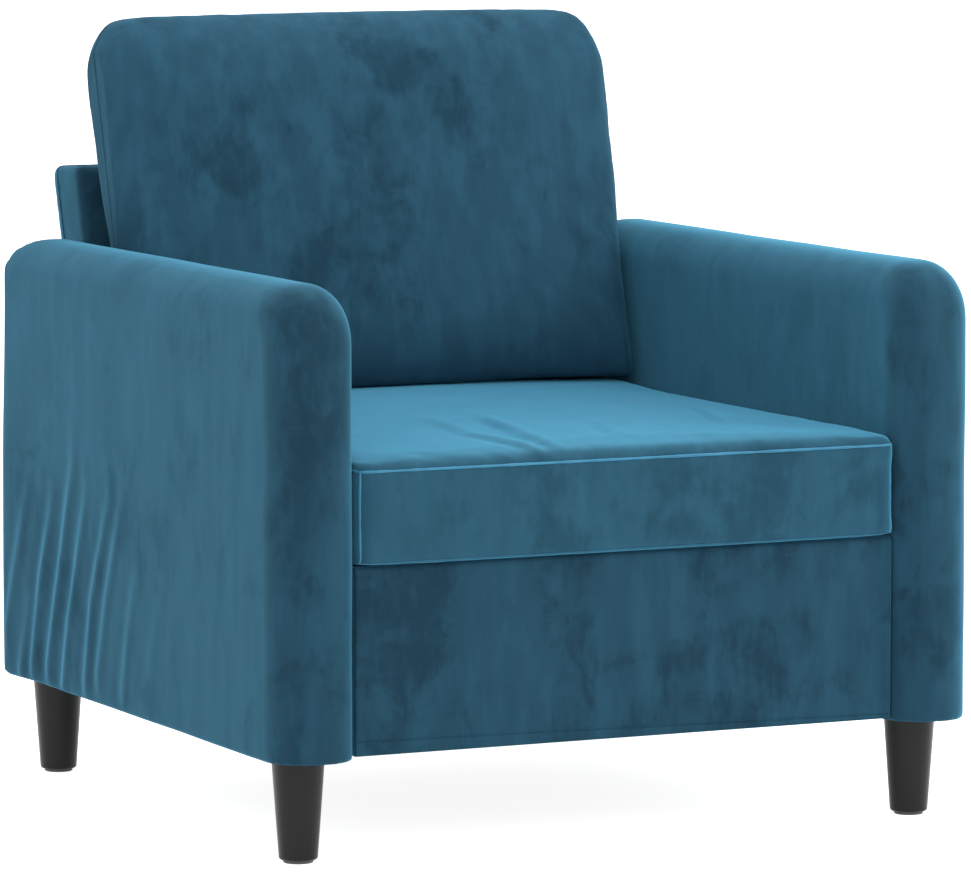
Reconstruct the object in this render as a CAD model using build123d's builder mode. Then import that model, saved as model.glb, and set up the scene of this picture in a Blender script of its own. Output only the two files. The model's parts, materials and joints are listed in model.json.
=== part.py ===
from build123d import *

import os
from math import asin, cos, radians, sin, tan

# An upholstered armchair with padded arms, a leaning backrest and two loose cushions.
# Millimetres. +X is the right-hand side seen from the front, +Y points to the rear, +Z is up.
# The origin lies on the floor under the middle of the chair's overall box.

# Overall sizes
overall_width = 780.0
overall_depth = 824.0
leg_height = 107.0

# Fits and clearances
soft_gap = 0.3
side_gap = 1.0
pin_fit = 0.1
bolt_fit = 0.3

# Upholstery layers
velvet = 1.5
deck_cloth_thickness = 1.5
dust_cloth_thickness = 1.0
board = 3.0

# Arms
arm_width = 90.0
arm_top = 575.0
arm_edge_flat = 8.0
arm_front_sweep = 60.0
arm_rear_reach = 45.0
arm_rear_fall = 28.0
arm_rear_round = 5.0
arm_side_foam = 12.0
arm_end_foam = 14.0
arm_rear_foam = 4.0
arm_core_rear_round = 40.0
arm_post = 45.0
arm_rail = 45.0
arm_seat_rail_height = 208.0

# Legs
leg_top_radius = 26.75
leg_foot_radius = 19.35
leg_front_inset = 63.0
leg_rear_inset = 40.0
leg_foot_round = 3.0
glide_radius = 15.0
glide_thickness = 3.0
glide_edge_round = 1.0
glide_stem_radius = 4.0
glide_stem_length = 10.0
stud_radius = 4.0
stud_in_leg = 40.0
stud_past_nut = 4.0
nut_flange_radius = 11.0
nut_flange_thickness = 1.6
nut_barrel_radius = 5.5
nut_barrel_length = 12.0
nut_pocket_gap = 1.5

# Seat box between the arms
rail_setback = 23.0
rail_thickness = 25.0
rail_foam = 8.0
rail_cover_flap = 60.0
rail_cover_round = 6.0
ledger_width = 30.0
ledger_height = 30.0
corner_block_leg = 55.0
corner_block_height = 80.0
deck_pad_thickness = 25.0

# Zigzag springs under the deck pad
spring_count = 5
spring_edge_inset = 65.0
spring_wire = 4.0
spring_run = 40.0
spring_pitch = 38.0
clip_width = 24.0
clip_depth = 14.0
clip_height = 6.8

# Backrest, a slab that leans between the arms
back_lean = 15.5
back_thickness = 75.0
back_overhang = 80.0
back_rear_height = 644.5
back_top_fall = 4.0
back_edge_round = 10.0
back_side_round = 6.0
back_front_foam = 20.0
back_top_foam = 20.0
back_side_foam = 4.0
back_post = 45.0
back_rail = 60.0
webbing_width = 50.0
webbing_thickness = 2.0
webbing_count = 3
webbing_spacing = 130.0

# Bolts, washers and threaded inserts
bolt_radius = 4.0
bolt_head_radius = 7.0
bolt_head_height = 5.0
bolt_key_radius = 2.5
bolt_key_depth = 3.0
bolt_grip = 40.0
washer_radius = 9.0
washer_thickness = 1.6
insert_radius = 6.0
insert_length = 25.0
seat_bolt_inset = 89.5
back_bolt_spread = 90.0

# Seat cushion
seat_base = 296.0
seat_setback = 14.0
seat_rear_gap = 3.0
seat_front_height = 107.0
seat_crown_height = 117.0
seat_rest_height = 116.5
seat_rear_height = 112.0
seat_end_fall = 3.0
seat_side_fall = 13.0
seat_side_draw = 4.0
seat_top_roll = 14.0
seat_corner_round = 16.0
seat_spare = 20.0
cushion_cover = 2.5

# Back cushion
pillow_thickness = 140.0
pillow_length = 433.0
pillow_sink = 20.0
pillow_edge_round = 60.0
pillow_top_corner = 50.0
pillow_foot_corner = 30.0
pillow_end_fall = 6.0
pillow_edge_share = 0.62
pillow_flank = 24.0
pillow_side_draw = 3.0
pillow_top_spread = 6.5
pillow_back_gap = 0.8

# Zips, let into the cushion covers
zip_length = 420.0
zip_width = 10.0
zip_thickness = 1.3
zip_groove_gap = 0.2
zip_slider_length = 14.0
zip_slider_width = 6.0

# Planes and heights that several pieces share
half_width = overall_width / 2
seat_half = half_width - arm_width
front = -overall_depth / 2
rear = overall_depth / 2
arm_rear = rear - back_overhang
arm_middle = half_width - arm_width / 2
arm_edge_round = (arm_width - arm_edge_flat) / 2
arm_fall_radius = (arm_rear_reach**2 + arm_rear_fall**2) / (2 * arm_rear_fall)
rail_front = front + rail_setback
deck_top = seat_base - soft_gap
box_top = deck_top - deck_cloth_thickness
box_bottom = leg_height + dust_cloth_thickness
front_rail_front = rail_front + velvet + rail_foam
front_rail_rear = front_rail_front + rail_thickness

# The timber box inside each arm
core_front = front + velvet + arm_end_foam
core_rear = arm_rear - velvet - arm_rear_foam
core_bottom = leg_height + velvet
core_top = arm_top - velvet - arm_end_foam
core_inner = seat_half + velvet + arm_side_foam
core_outer = half_width - velvet - arm_side_foam
core_front_sweep = arm_front_sweep - velvet - arm_end_foam
timber_inner = core_inner + board
timber_outer = core_outer - board
arm_post_bottom = core_bottom + arm_rail
arm_post_top = core_top - arm_rail
rear_post_middle = core_rear - arm_post / 2
leg_rows = (front + leg_front_inset, arm_rear - leg_rear_inset)

# The leaning planes of the backrest, found from its rounded rear top edge
lean_sin = sin(radians(back_lean))
lean_cos = cos(radians(back_lean))
lean_tan = tan(radians(back_lean))
edge_centre = (rear - back_edge_round, back_rear_height - back_edge_round)
back_rear_at_floor = (
    edge_centre[0]
    + back_edge_round * lean_cos
    - (edge_centre[1] - back_edge_round * lean_sin) * lean_tan
)
back_plane = Plane(
    origin=(0, back_rear_at_floor, 0), x_dir=(1, 0, 0), z_dir=(0, -lean_cos, lean_sin)
)
fall_sin = sin(radians(back_top_fall))
fall_cos = cos(radians(back_top_fall))
back_top_plane = Plane(
    origin=(
        0,
        edge_centre[0] + back_edge_round * fall_sin,
        edge_centre[1] + back_edge_round * fall_cos,
    ),
    x_dir=(1, 0, 0),
    z_dir=(0, fall_sin, fall_cos),
)
back_reach = 2 * back_rear_height
back_core_half = seat_half - max(velvet + back_side_foam, back_side_round)
back_timber_rear = velvet + board
back_timber_front = back_thickness - velvet - back_front_foam - webbing_thickness
back_timber_middle = (back_timber_rear + back_timber_front) / 2


def back_y(depth, height):
    """Y of the point that lies depth inside the backrest's rear face, at a height."""
    return back_rear_at_floor + height * lean_tan - depth / lean_cos


# The seat box ends where the backrest's front face begins
rear_rail_rear = back_y(back_thickness, leg_height)
rear_rail_front = rear_rail_rear - rail_thickness
ledger_top = box_top - deck_pad_thickness - clip_height
spring_front = front_rail_rear + ledger_width / 2
spring_rear = rear_rail_front - ledger_width / 2
box_inside = seat_half - rail_thickness

# Bolt places, as (y, z)
seat_bolt_places = [
    (along, height)
    for along in (front_rail_rear + seat_bolt_inset, rear_rail_front - seat_bolt_inset)
    for height in (core_bottom + arm_rail / 2, arm_seat_rail_height + arm_rail / 2)
]
back_bolt_height = (
    rear_post_middle - back_rear_at_floor + back_timber_middle / lean_cos
) / lean_tan
back_bolt_places = [
    (back_y(back_timber_middle, height), height)
    for height in (
        back_bolt_height - back_bolt_spread / 2,
        back_bolt_height + back_bolt_spread / 2,
    )
]

os.makedirs("parts", exist_ok=True)


def keep(piece, name):
    """Label a finished piece and write it."""
    piece.part.label = name
    export_step(piece.part, f"parts/{name}.step")


def block(x_range, y_range, z_range, mode=Mode.ADD):
    """A box between three pairs of faces, in any order."""
    low = [min(pair) for pair in (x_range, y_range, z_range)]
    size = [abs(pair[1] - pair[0]) for pair in (x_range, y_range, z_range)]
    with Locations(tuple(low)):
        Box(*size, align=(Align.MIN, Align.MIN, Align.MIN), mode=mode)


def rod(start, direction, radius, length, mode=Mode.ADD):
    """A round bar that starts at a point and runs along a direction."""
    with Locations(Plane(origin=start, z_dir=direction)):
        Cylinder(
            radius, length, align=(Align.CENTER, Align.CENTER, Align.MIN), mode=mode
        )


def sides(distance):
    """The two places at a distance left and right of the middle."""
    return (-distance, distance)


# Arms


def arm_form(side, inset):
    """The rounded form of one arm, drawn in all round by inset."""
    low = leg_height + inset
    high = arm_top - inset
    first = front + inset
    last = arm_rear - inset
    sweep = arm_front_sweep - inset
    bend = sweep * (1 - cos(radians(45)))
    fall_radius = arm_fall_radius - inset
    fall_centre = (arm_rear - arm_rear_reach, arm_top - arm_fall_radius)
    fall_angle = asin((last - fall_centre[0]) / fall_radius)
    clear_rear = arm_rear + arm_rear_fall
    clear_top = arm_top + arm_rear_fall

    def fall_point(angle):
        """A point on the arc that rounds off the top at the rear."""
        return (
            fall_centre[0] + fall_radius * sin(angle),
            fall_centre[1] + fall_radius * cos(angle),
        )

    with BuildPart() as form:
        with BuildSketch(Plane.YZ.offset(side * (seat_half + inset))):
            with BuildLine():
                Line((first, low), (first, high - sweep))
                ThreePointArc(
                    (first, high - sweep),
                    (first + bend, high - bend),
                    (first + sweep, high),
                )
                Polyline((first + sweep, high), (last, high), (last, low), (first, low))
            make_face()
        extrude(amount=side * (arm_width - 2 * inset))
        rounded = [
            edge
            for face in (form.faces().sort_by(Axis.X)[0], form.faces().sort_by(Axis.X)[-1])
            for edge in face.edges()
            if edge.center().Z > low + 1 and edge.center().Y < last - 1
        ]
        fillet(rounded, arm_edge_round - inset)
        with BuildSketch(Plane.YZ.offset(side * seat_half)):
            with BuildLine():
                ThreePointArc(fall_point(0), fall_point(fall_angle / 2), fall_point(fall_angle))
                Polyline(
                    fall_point(fall_angle),
                    (clear_rear, fall_point(fall_angle)[1]),
                    (clear_rear, clear_top),
                    (fall_centre[0], clear_top),
                    fall_point(0),
                )
            make_face()
        extrude(amount=side * arm_width, mode=Mode.SUBTRACT)
        rear_edges = form.faces().sort_by(Axis.Y)[-1].edges()
        fillet(rear_edges.sort_by(Axis.Z)[1:], arm_rear_round - inset)
    return form.part


def arm_slice(side, x_range, z_low):
    """A slice of the arm's timber box with its rounded top corners, from a height up."""
    with BuildPart() as piece:
        with BuildSketch(Plane.YZ.offset(side * x_range[0])) as outline:
            with Locations(((core_front + core_rear) / 2, (core_bottom + core_top) / 2)):
                Rectangle(core_rear - core_front, core_top - core_bottom)
            front_corner = outline.vertices().group_by(Axis.Y)[-1].sort_by(Axis.X)[0]
            fillet(front_corner, core_front_sweep)
            rear_corner = outline.vertices().group_by(Axis.Y)[-1].sort_by(Axis.X)[-1]
            fillet(rear_corner, arm_core_rear_round)
        extrude(amount=side * (x_range[1] - x_range[0]))
        if z_low > core_bottom:
            split(bisect_by=Plane.XY.offset(z_low), keep=Keep.TOP)
    return piece.part


def drill_arm(side, x_from, radius, x_to, places):
    """Bore bolt holes through the arm between two distances from the middle."""
    for y, z in places:
        rod((side * x_from, y, z), (side, 0, 0), radius, x_to - x_from, Mode.SUBTRACT)


def bore_timber(side, places):
    """Seats for threaded inserts in the arm's timber, with room for the bolt ends."""
    insert_end = timber_inner + insert_length
    drill_arm(side, timber_inner, insert_radius + pin_fit, insert_end, places)
    bolt_end = timber_inner + bolt_grip
    drill_arm(side, insert_end, bolt_radius + bolt_fit, bolt_end, places)


def leg_bores(side, radius, z_range):
    """Upright bores on the leg axes of one arm."""
    for y in leg_rows:
        rod(
            (side * arm_middle, y, z_range[0]),
            (0, 0, 1),
            radius,
            z_range[1] - z_range[0],
            Mode.SUBTRACT,
        )


all_bolt_places = seat_bolt_places + back_bolt_places

for side, hand in ((-1, "left"), (1, "right")):
    arm_outside = arm_form(side, 0)
    arm_inside = arm_form(side, velvet)
    arm_core = arm_slice(side, (core_inner, core_outer), core_bottom)
    timber = (side * timber_inner, side * timber_outer)

    with BuildPart() as arm_cover:
        add(arm_outside)
        add(arm_inside, mode=Mode.SUBTRACT)
        hole = bolt_radius + bolt_fit
        drill_arm(side, seat_half, hole, seat_half + velvet, all_bolt_places)
        leg_bores(side, stud_radius + bolt_fit, (leg_height, core_bottom))
    keep(arm_cover, f"{hand}_arm_cover")

    with BuildPart() as arm_foam:
        add(arm_inside)
        add(arm_core, mode=Mode.SUBTRACT)
        drill_arm(side, seat_half + velvet, hole, core_inner, all_bolt_places)
    keep(arm_foam, f"{hand}_arm_foam")

    with BuildPart() as inner_board:
        add(arm_slice(side, (core_inner, timber_inner), core_bottom))
        drill_arm(side, core_inner, hole, timber_inner, all_bolt_places)
    keep(inner_board, f"{hand}_arm_inner_board")

    with BuildPart() as outer_board:
        add(arm_slice(side, (timber_outer, core_outer), core_bottom))
    keep(outer_board, f"{hand}_arm_outer_board")

    with BuildPart() as arm_top_rail:
        add(arm_slice(side, (timber_inner, timber_outer), arm_post_top))
    keep(arm_top_rail, f"{hand}_arm_top_rail")

    with BuildPart() as arm_bottom_rail:
        block(timber, (core_front, core_rear), (core_bottom, arm_post_bottom))
        nut_low = arm_post_bottom - nut_barrel_length
        leg_bores(side, stud_radius + bolt_fit, (core_bottom, nut_low))
        leg_bores(side, nut_barrel_radius + pin_fit, (nut_low, arm_post_bottom))
        bore_timber(side, seat_bolt_places)
    keep(arm_bottom_rail, f"{hand}_arm_bottom_rail")

    with BuildPart() as arm_seat_rail:
        block(
            timber,
            (core_front + arm_post, core_rear - arm_post),
            (arm_seat_rail_height, arm_seat_rail_height + arm_rail),
        )
        bore_timber(side, seat_bolt_places)
    keep(arm_seat_rail, f"{hand}_arm_seat_rail")

    nut_pocket = (
        arm_post_bottom,
        arm_post_bottom + nut_flange_thickness + stud_past_nut + nut_pocket_gap,
    )
    for row, y_range in (
        ("front", (core_front, core_front + arm_post)),
        ("rear", (core_rear - arm_post, core_rear)),
    ):
        with BuildPart() as arm_upright:
            block(timber, y_range, (arm_post_bottom, arm_post_top))
            leg_bores(side, nut_flange_radius + nut_pocket_gap, nut_pocket)
            if row == "rear":
                bore_timber(side, back_bolt_places)
        keep(arm_upright, f"{hand}_arm_{row}_post")


# Legs, with their glides, studs and tee nuts

leg_places = [
    (side * arm_middle, y, row, hand)
    for side, hand in ((-1, "left"), (1, "right"))
    for y, row in zip(leg_rows, ("front", "rear"))
]
leg_axes = [(x, y) for x, y, row, hand in leg_places]

for x, y, row, hand in leg_places:
    with BuildPart() as leg:
        with BuildSketch(Plane.XY.offset(glide_thickness)):
            with Locations((x, y)):
                Circle(leg_foot_radius)
        with BuildSketch(Plane.XY.offset(leg_height)):
            with Locations((x, y)):
                Circle(leg_top_radius)
        loft()
        fillet(leg.faces().sort_by(Axis.Z)[0].edges(), leg_foot_round)
        stud_low = leg_height - stud_in_leg
        rod((x, y, stud_low), (0, 0, 1), stud_radius, stud_in_leg, Mode.SUBTRACT)
        rod(
            (x, y, glide_thickness),
            (0, 0, 1),
            glide_stem_radius + pin_fit,
            glide_stem_length,
            Mode.SUBTRACT,
        )
    keep(leg, f"{hand}_{row}_leg")

with BuildPart() as glides:
    for x, y in leg_axes:
        rod((x, y, 0), (0, 0, 1), glide_radius, glide_thickness)
    fillet(glides.edges().group_by(Axis.Z)[0], glide_edge_round)
    for x, y in leg_axes:
        rod((x, y, glide_thickness), (0, 0, 1), glide_stem_radius, glide_stem_length)
keep(glides, "foot_glides")

with BuildPart() as studs:
    stud_top = arm_post_bottom + nut_flange_thickness + stud_past_nut
    for x, y in leg_axes:
        start = (x, y, leg_height - stud_in_leg)
        rod(start, (0, 0, 1), stud_radius - pin_fit, stud_top - start[2])
keep(studs, "leg_studs")

with BuildPart() as tee_nuts:
    for x, y in leg_axes:
        rod((x, y, arm_post_bottom), (0, 0, 1), nut_flange_radius, nut_flange_thickness)
        nut_low = arm_post_bottom - nut_barrel_length
        rod((x, y, nut_low), (0, 0, 1), nut_barrel_radius, nut_barrel_length)
        nut_length = nut_barrel_length + nut_flange_thickness
        rod((x, y, nut_low), (0, 0, 1), stud_radius, nut_length, Mode.SUBTRACT)
keep(tee_nuts, "leg_tee_nuts")


# Seat box

with BuildPart() as front_rail:
    block(
        sides(seat_half), (front_rail_front, front_rail_rear), (box_bottom, box_top)
    )
keep(front_rail, "seat_front_rail")

with BuildPart() as rear_rail:
    block(sides(seat_half), (rear_rail_front, rear_rail_rear), (box_bottom, box_top))
keep(rear_rail, "seat_rear_rail")

for side, hand in ((-1, "left"), (1, "right")):
    with BuildPart() as side_rail:
        block(
            (side * box_inside, side * seat_half),
            (front_rail_rear, rear_rail_front),
            (box_bottom, box_top),
        )
        drill_arm(
            side,
            box_inside,
            bolt_radius + bolt_fit,
            seat_half,
            seat_bolt_places,
        )
    keep(side_rail, f"seat_{hand}_rail")

ledger_range = (ledger_top - ledger_height, ledger_top)
for row, y_range in (
    ("front", (front_rail_rear, front_rail_rear + ledger_width)),
    ("rear", (rear_rail_front - ledger_width, rear_rail_front)),
):
    with BuildPart() as ledger:
        block(sides(box_inside), y_range, ledger_range)
    keep(ledger, f"spring_{row}_ledger")

with BuildPart() as corner_blocks:
    with BuildSketch(Plane.XY.offset(box_bottom)):
        for x in sides(box_inside):
            for y, inward in ((front_rail_rear, 1), (rear_rail_front, -1)):
                with BuildLine():
                    Polyline(
                        (x, y),
                        (x, y + inward * corner_block_leg),
                        (x - corner_block_leg * (1 if x > 0 else -1), y),
                        close=True,
                    )
                make_face()
    extrude(amount=corner_block_height)
keep(corner_blocks, "corner_blocks")

spring_spacing = 2 * (box_inside - spring_edge_inset) / (spring_count - 1)
spring_xs = [
    (number - (spring_count - 1) / 2) * spring_spacing for number in range(spring_count)
]
spring_level = ledger_top + clip_height / 2
spring_bends = round((spring_rear - spring_front) / spring_pitch)
spring_step = (spring_rear - spring_front) / spring_bends

with BuildPart() as springs:
    for x in spring_xs:
        with BuildLine(Plane.XY.offset(spring_level)) as zigzag:
            for bend in range(spring_bends + 1):
                hand = 1 if bend % 2 == 0 else -1
                y = spring_front + bend * spring_step
                run_end = x + hand * spring_run / 2
                Line((x - hand * spring_run / 2, y), (run_end, y))
                if bend < spring_bends:
                    ThreePointArc(
                        (run_end, y),
                        (run_end + hand * spring_step / 2, y + spring_step / 2),
                        (run_end, y + spring_step),
                    )
        with BuildSketch(Plane(origin=zigzag.line @ 0, z_dir=zigzag.line % 0)):
            Circle(spring_wire / 2)
        sweep(path=zigzag.line)
keep(springs, "seat_springs")

with BuildPart() as clips:
    for x in spring_xs:
        for y in (spring_front, spring_rear):
            block(
                (x - clip_width / 2, x + clip_width / 2),
                (y - clip_depth / 2, y + clip_depth / 2),
                (ledger_top, ledger_top + clip_height),
            )
            start = (x - clip_width / 2, y, spring_level)
            rod(start, (1, 0, 0), spring_wire / 2 + pin_fit, clip_width, Mode.SUBTRACT)
keep(clips, "spring_clips")

with BuildPart() as deck_pad:
    block(
        sides(box_inside),
        (front_rail_rear, rear_rail_front),
        (box_top - deck_pad_thickness, box_top),
    )
keep(deck_pad, "deck_pad")

with BuildPart() as deck_cloth:
    block(
        sides(seat_half),
        (rail_front + rail_cover_flap, rear_rail_rear),
        (box_top, deck_top),
    )
keep(deck_cloth, "deck_cloth")

with BuildPart() as dust_cloth:
    block(
        sides(seat_half), (rail_front + velvet, rear_rail_rear), (leg_height, box_bottom)
    )
keep(dust_cloth, "dust_cloth")

with BuildPart() as rail_foam_pad:
    with BuildSketch(Plane.YZ.offset(-seat_half)):
        with Locations((rail_front + velvet, box_bottom)):
            pad = Rectangle(
                rail_foam, box_top - box_bottom, align=(Align.MIN, Align.MIN)
            )
        corner = pad.vertices().group_by(Axis.Y)[-1].sort_by(Axis.X)[0]
        fillet(corner, rail_cover_round - velvet)
    extrude(amount=2 * seat_half)
keep(rail_foam_pad, "front_rail_foam")

with BuildPart() as rail_cover:
    low_corner = (Align.MIN, Align.MIN)
    with BuildSketch(Plane.YZ.offset(-seat_half)) as hook:
        with Locations((rail_front, leg_height)):
            Rectangle(rail_cover_flap, deck_top - leg_height, align=low_corner)
        with Locations((rail_front + velvet, leg_height)):
            Rectangle(
                rail_cover_flap, box_top - leg_height, align=low_corner, mode=Mode.SUBTRACT
            )
        outer = hook.vertices().sort_by_distance((rail_front, deck_top))[0]
        fillet(outer, rail_cover_round)
        inner = hook.vertices().sort_by_distance((rail_front + velvet, box_top))[0]
        fillet(inner, rail_cover_round - velvet)
    extrude(amount=2 * seat_half)
keep(rail_cover, "front_rail_cover")


# Backrest


def back_form(inset):
    """The leaning slab between the arms, drawn in all round by inset."""
    with BuildPart() as form:
        with BuildSketch(back_plane.offset(inset)):
            Rectangle(2 * (seat_half - inset), 2 * back_reach)
        extrude(amount=back_thickness - 2 * inset)
        split(bisect_by=back_top_plane.offset(-inset), keep=Keep.BOTTOM)
        split(bisect_by=Plane.XY.offset(leg_height + inset), keep=Keep.TOP)
        top_edges = form.edges().filter_by(Axis.X).sort_by(Axis.Z)[-2:]
        fillet(top_edges, back_edge_round - inset)
        bottom = form.faces().sort_by(Axis.Z)[0].center().Z
        side_edges = [
            edge
            for face in (form.faces().sort_by(Axis.X)[0], form.faces().sort_by(Axis.X)[-1])
            for edge in face.edges()
            if edge.center().Z > bottom + inset + 1
        ]
        fillet(side_edges, back_side_round - inset)
    return form.part


def back_slice(x_range, depth_range, top_inset):
    """A piece of the backrest's inside, between two depths from its rear face."""
    middle = (x_range[0] + x_range[1]) / 2
    with BuildPart() as piece:
        with BuildSketch(back_plane.offset(depth_range[0])):
            with Locations((middle, 0)):
                Rectangle(x_range[1] - x_range[0], 2 * back_reach)
        extrude(amount=depth_range[1] - depth_range[0])
        split(bisect_by=back_top_plane.offset(-top_inset), keep=Keep.BOTTOM)
        split(bisect_by=Plane.XY.offset(leg_height + velvet), keep=Keep.TOP)
    return piece.part


def drill_back(x_from, x_to, radius):
    """Bolt holes sideways through both ends of the backrest."""
    for side in (-1, 1):
        drill_arm(side, x_from, radius, x_to, back_bolt_places)


back_core_top = velvet + back_top_foam
back_timber = (back_timber_rear, back_timber_front)
back_front = (back_timber_front, back_timber_front + webbing_thickness)
back_outside = back_form(0)
back_inside = back_form(velvet)
back_core = back_slice(sides(back_core_half), (velvet, back_front[1]), back_core_top)
bolt_hole = bolt_radius + bolt_fit

with BuildPart() as back_cover:
    add(back_outside)
    add(back_inside, mode=Mode.SUBTRACT)
    drill_back(seat_half - velvet, seat_half, bolt_hole)
keep(back_cover, "backrest_cover")

with BuildPart() as back_foam:
    add(back_inside)
    add(back_core, mode=Mode.SUBTRACT)
    drill_back(back_core_half, seat_half - velvet, bolt_hole)
keep(back_foam, "backrest_foam")

with BuildPart() as rear_board:
    add(back_slice(sides(back_core_half), (velvet, back_timber_rear), back_core_top))
keep(rear_board, "backrest_rear_board")

for side, hand in ((-1, "left"), (1, "right")):
    post_edges = sorted((side * (back_core_half - back_post), side * back_core_half))
    with BuildPart() as back_upright:
        add(back_slice(post_edges, back_timber, back_core_top))
        drill_back(back_core_half - back_post, back_core_half, bolt_hole)
    keep(back_upright, f"backrest_{hand}_post")

back_rail_half = back_core_half - back_post
with BuildPart() as back_top_rail:
    add(back_slice(sides(back_rail_half), back_timber, back_core_top))
    split(
        bisect_by=Plane.XY.offset(back_rear_height - back_core_top - back_rail),
        keep=Keep.TOP,
    )
keep(back_top_rail, "backrest_top_rail")

with BuildPart() as back_bottom_rail:
    add(back_slice(sides(back_rail_half), back_timber, back_core_top))
    split(bisect_by=Plane.XY.offset(core_bottom + back_rail), keep=Keep.BOTTOM)
keep(back_bottom_rail, "backrest_bottom_rail")

with BuildPart() as webbing:
    for number in range(webbing_count):
        x = (number - (webbing_count - 1) / 2) * webbing_spacing
        strip = (x - webbing_width / 2, x + webbing_width / 2)
        add(back_slice(strip, back_front, back_core_top))
keep(webbing, "backrest_webbing")


# Bolts, washers and inserts


def bolt_set(name, seat_x, places):
    """Socket bolts with washers, from inside the chair outwards into both arms."""
    head_seat = seat_x - washer_thickness
    with BuildPart() as bolts:
        for side in (-1, 1):
            for y, z in places:
                out = (side, 0, 0)
                head = (side * (head_seat - bolt_head_height), y, z)
                rod(head, out, bolt_head_radius, bolt_head_height)
                reach = timber_inner + bolt_grip - pin_fit - head_seat
                shank = (side * head_seat, y, z)
                rod(shank, out, bolt_radius - pin_fit, reach)
                rod(head, out, bolt_key_radius, bolt_key_depth, Mode.SUBTRACT)
    keep(bolts, f"{name}_bolts")

    with BuildPart() as washers:
        for side in (-1, 1):
            for y, z in places:
                place = (side * head_seat, y, z)
                rod(place, (side, 0, 0), washer_radius, washer_thickness)
                rod(place, (side, 0, 0), bolt_hole, washer_thickness, Mode.SUBTRACT)
    keep(washers, f"{name}_bolt_washers")

    with BuildPart() as inserts:
        for side in (-1, 1):
            for y, z in places:
                place = (side * timber_inner, y, z)
                rod(place, (side, 0, 0), insert_radius, insert_length)
                rod(place, (side, 0, 0), bolt_radius, insert_length, Mode.SUBTRACT)
    keep(inserts, f"{name}_bolt_inserts")


bolt_set("seat", box_inside, seat_bolt_places)
bolt_set("backrest", back_core_half - back_post, back_bolt_places)


# Seat cushion

seat_front = front + seat_setback
seat_rear = back_y(back_thickness, seat_base) - seat_rear_gap
seat_length = seat_rear - seat_front
pillow_front = back_y(back_thickness + pillow_thickness, seat_base + seat_rest_height)


def seat_form(inset):
    """A crowned box cushion whose sides draw in between its rounded corners."""
    low = seat_base + inset
    half = seat_half - soft_gap - inset
    wide = half + seat_spare
    first = seat_front + inset
    last = seat_rear - inset
    stations = (
        (seat_front - seat_spare, seat_front_height, seat_end_fall),
        (seat_front + seat_length / 3, seat_crown_height, seat_side_fall),
        (pillow_front, seat_rest_height, seat_side_fall),
        (seat_rear + seat_spare, seat_rear_height, seat_end_fall),
    )
    with BuildPart() as form:
        with BuildSketch(Plane.XY.offset(low)) as plan:
            with BuildLine():
                waist = (half - seat_side_draw, (first + last) / 2)
                Line((-half, first), (half, first))
                ThreePointArc((half, first), waist, (half, last))
                Line((half, last), (-half, last))
                ThreePointArc((-half, last), (-waist[0], waist[1]), (-half, first))
            make_face()
            fillet(plan.vertices(), seat_corner_round - inset)
        extrude(amount=2 * seat_crown_height)
        for y, height, fall in stations:
            crown = seat_base + height - inset
            foot = low - seat_spare
            with BuildSketch(Plane.XZ.offset(-y)):
                with BuildLine():
                    Polyline(
                        (-wide, crown - fall), (-wide, foot), (wide, foot), (wide, crown - fall)
                    )
                    ThreePointArc((wide, crown - fall), (0, crown), (-wide, crown - fall))
                make_face()
        loft(mode=Mode.INTERSECT)
        fillet(form.faces().sort_by(Axis.Z)[-1].edges(), seat_top_roll - inset)
    return form.part


zip_groove = zip_thickness + zip_groove_gap


def zip_shape(plane):
    """A closed zip with its slider, lying on a plane inside its groove."""
    with BuildSketch(plane) as tape:
        Rectangle(zip_length, zip_width)
    extrude(tape.sketch, amount=zip_thickness / 2)
    with BuildSketch(plane.offset(zip_thickness / 2)) as slider:
        with Locations(((zip_length - zip_slider_length) / 2, 0)):
            Rectangle(zip_slider_length, zip_slider_width)
    extrude(slider.sketch, amount=zip_thickness / 2)


def cut_groove(plane):
    """The groove that the zip lies in."""
    with BuildSketch(plane) as groove:
        Rectangle(zip_length + 2 * zip_groove_gap, zip_width + 2 * zip_groove_gap)
    extrude(groove.sketch, amount=cushion_cover, mode=Mode.SUBTRACT)


seat_inside = seat_form(cushion_cover)
seat_zip_plane = Plane(
    origin=(0, seat_rear - zip_groove, seat_base + seat_rear_height / 2),
    x_dir=(-1, 0, 0),
    z_dir=(0, 1, 0),
)

with BuildPart() as seat_foam:
    add(seat_inside)
keep(seat_foam, "seat_cushion_foam")

with BuildPart() as seat_cover:
    add(seat_form(0))
    add(seat_inside, mode=Mode.SUBTRACT)
    cut_groove(seat_zip_plane)
keep(seat_cover, "seat_cushion_cover")

with BuildPart() as seat_zip:
    zip_shape(seat_zip_plane)
keep(seat_zip, "seat_cushion_zip")


# Back cushion

pillow_half = seat_half - side_gap
pillow_foot = seat_base + seat_rest_height + soft_gap
pillow_middle = back_thickness + pillow_back_gap + pillow_thickness / 2
pillow_stations = (0.05, 0.3, 1.0, 1.9)


def round_loss(radius, distance):
    """How far a rounded edge lies inside its corner, at a distance from the end."""
    short = max(radius - distance, 0)
    return radius - (radius**2 - short**2) ** 0.5


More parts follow.
